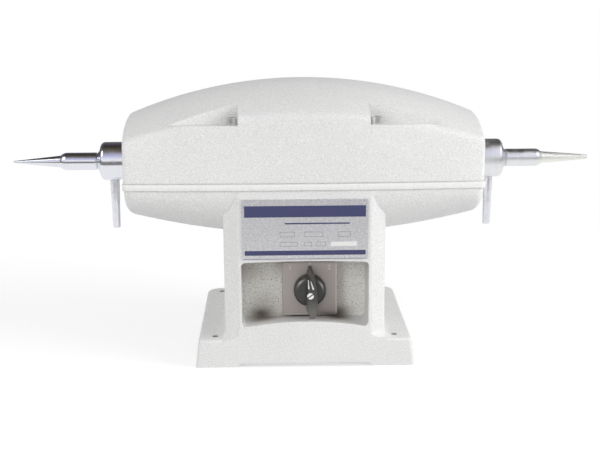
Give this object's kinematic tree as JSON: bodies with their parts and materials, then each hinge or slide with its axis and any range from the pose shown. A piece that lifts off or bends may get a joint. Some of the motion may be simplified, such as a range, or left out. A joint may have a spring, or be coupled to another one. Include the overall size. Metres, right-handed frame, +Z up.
{
  "type": "bench polisher",
  "caption": "Bench polishing motor on a pedestal: domed housing, tapered spindles at both ends with lever ejectors, rotary switch in a front niche.",
  "frame": {"origin": "on the bench, under the middle of the machine, at the underside of the corner pads", "axes": "+X along the shaft to the right, -Y to the front with the switch, +Z up"},
  "size_m": [0.509, 0.157, 0.2376],
  "materials": {
    "casting_paint": "fine textured off-white coat",
    "chrome": "polished chrome plate",
    "screw_steel": "zinc-plated steel",
    "raw_aluminium": "as cast and machined",
    "lamination": "stacked sheet steel",
    "winding": "enamelled copper wire",
    "bearing_steel": "ground bearing steel",
    "cage_nylon": "moulded nylon",
    "felt": "pressed felt",
    "shaft_steel": "turned and ground",
    "bronze": "sintered bronze",
    "nameplate_foil": "thin satin plate",
    "switch_plate_grey": "grey satin plate",
    "switch_black": "black moulding",
    "switch_spindle_steel": "square steel spindle",
    "capacitor_case": "plastic can",
    "zinc_sheet": "zinc-plated sheet",
    "block_nylon": "natural nylon",
    "lead_sleeve": "black sleeving"
  },
  "bodies": {
    "housing": {"bearing_outer_left": "bearing_steel", "bearing_outer_right": "bearing_steel", "bearing_shim": "bearing_steel", "body_casting": "casting_paint", "bottom_plate": "zinc_sheet", "cable_gland": "switch_black", "capacitor": "capacitor_case", "capacitor_clip": "zinc_sheet", "capacitor_leads": "lead_sleeve", "cover_screws": "screw_steel", "cover_washers": "screw_steel", "dust_seal_left": "felt", "dust_seal_right": "felt", "end_bell_left": "raw_aluminium", "end_bell_right": "raw_aluminium", "fitting_screws": "screw_steel", "gland_locknut": "switch_black", "motor_leads": "lead_sleeve", "motor_screws": "screw_steel", "nameplate": "nameplate_foil", "plate_screws": "screw_steel", "preload_washer": "bearing_steel", "stator_core": "lamination", "stator_winding": "winding", "switch_body": "switch_black", "switch_plate": "switch_plate_grey", "switch_screws": "screw_steel", "terminal_block": "block_nylon", "tie_bolts": "screw_steel", "tie_nuts": "screw_steel", "top_cover": "casting_paint"},
    "rotor": {"rotor_shaft": "shaft_steel", "rotor_core": "lamination", "rotor_cage": "raw_aluminium", "bearing_inner_left": "bearing_steel", "bearing_inner_right": "bearing_steel"},
    "switch_knob": {"switch_knob": "switch_black", "switch_spindle": "switch_spindle_steel", "knob_screw": "screw_steel"},
    "balls_left": {"bearing_balls_left": "bearing_steel", "bearing_cage_left": "cage_nylon"},
    "push_ring_left": {"push_ring_left": "chrome"},
    "lever_left": {"lever_collar_left": "chrome", "collar_bush_left": "bronze", "ejector_lever_left": "chrome"},
    "spindle_left": {"taper_spindle_left": "chrome"},
    "balls_right": {"bearing_balls_right": "bearing_steel", "bearing_cage_right": "cage_nylon"},
    "push_ring_right": {"push_ring_right": "chrome"},
    "lever_right": {"lever_collar_right": "chrome", "collar_bush_right": "bronze", "ejector_lever_right": "chrome"},
    "spindle_right": {"taper_spindle_right": "chrome"}
  },
  "joints": [
    {"name": "rotor_spin", "type": "hinge", "parent": "housing", "child": "rotor", "pos_m": [0, 0, 0.1655], "axis": [1, 0, 0], "continuous": true},
    {"name": "switch_turn", "type": "hinge", "parent": "housing", "child": "switch_knob", "pos_m": [0.005, -0.05, 0.0585], "axis": [0, -1, 0], "range_deg": [-45, 45]},
    {"name": "balls_left_spin", "type": "hinge", "parent": "housing", "child": "balls_left", "pos_m": [0, 0, 0.1655], "axis": [1, 0, 0], "continuous": true},
    {"name": "push_ring_left_slide", "type": "slide", "parent": "housing", "child": "push_ring_left", "axis": [-1, 0, 0], "range_m": [0, 0.004]},
    {"name": "lever_left_turn", "type": "hinge", "parent": "push_ring_left", "child": "lever_left", "pos_m": [-0.1662, 0, 0.1655], "axis": [-1, 0, 0], "range_deg": [0, 60]},
    {"name": "spindle_left_slide", "type": "slide", "parent": "rotor", "child": "spindle_left", "axis": [-1, 0, 0], "range_m": [0, 0.004]},
    {"name": "balls_right_spin", "type": "hinge", "parent": "housing", "child": "balls_right", "pos_m": [0, 0, 0.1655], "axis": [1, 0, 0], "continuous": true},
    {"name": "push_ring_right_slide", "type": "slide", "parent": "housing", "child": "push_ring_right", "axis": [1, 0, 0], "range_m": [0, 0.004]},
    {"name": "lever_right_turn", "type": "hinge", "parent": "push_ring_right", "child": "lever_right", "pos_m": [0.1662, 0, 0.1655], "axis": [-1, 0, 0], "range_deg": [0, 60]},
    {"name": "spindle_right_slide", "type": "slide", "parent": "rotor", "child": "spindle_right", "axis": [1, 0, 0], "range_m": [0, 0.004]}
  ],
  "couplings": [
    {"joint": "balls_left_spin", "follows": "rotor_spin", "ratio": 0.38},
    {"joint": "push_ring_left_slide", "follows": "lever_left_turn", "m_per_rad": 0.0038197},
    {"joint": "spindle_left_slide", "follows": "lever_left_turn", "m_per_rad": 0.0038197},
    {"joint": "balls_right_spin", "follows": "rotor_spin", "ratio": 0.38},
    {"joint": "push_ring_right_slide", "follows": "lever_right_turn", "m_per_rad": 0.0038197},
    {"joint": "spindle_right_slide", "follows": "lever_right_turn", "m_per_rad": 0.0038197}
  ]
}
